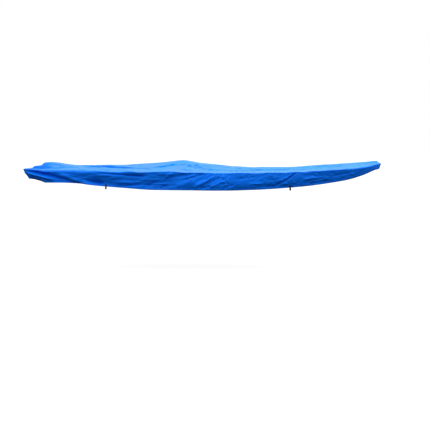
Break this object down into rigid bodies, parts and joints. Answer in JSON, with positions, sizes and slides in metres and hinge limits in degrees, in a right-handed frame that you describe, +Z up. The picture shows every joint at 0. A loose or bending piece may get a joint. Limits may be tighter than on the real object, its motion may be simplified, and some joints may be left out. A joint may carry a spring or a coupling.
{
  "type": "boat cover",
  "caption": "Fitted cloth cover for an open boat: a ridged top with a low peak, a folded skirt to a hem, and webbing strap loops, hollow underneath.",
  "frame": {"origin": "underside of the cloth at the peak of the ridge, on the middle line", "axes": "+X runs from the square tail to the pointed nose, +Z is up, and -Y is the side that the picture shows"},
  "size_m": [5.7002, 2.0505, 0.4601],
  "materials": {
    "cloth": "coated plain weave, soft sheen",
    "webbing": "woven matte"
  },
  "bodies": {
    "root": {"cover": "cloth", "strap_loop_near_aft": "webbing", "strap_loop_near_fore": "webbing", "strap_loop_far_aft": "webbing", "strap_loop_far_fore": "webbing"}
  },
  "joints": []
}
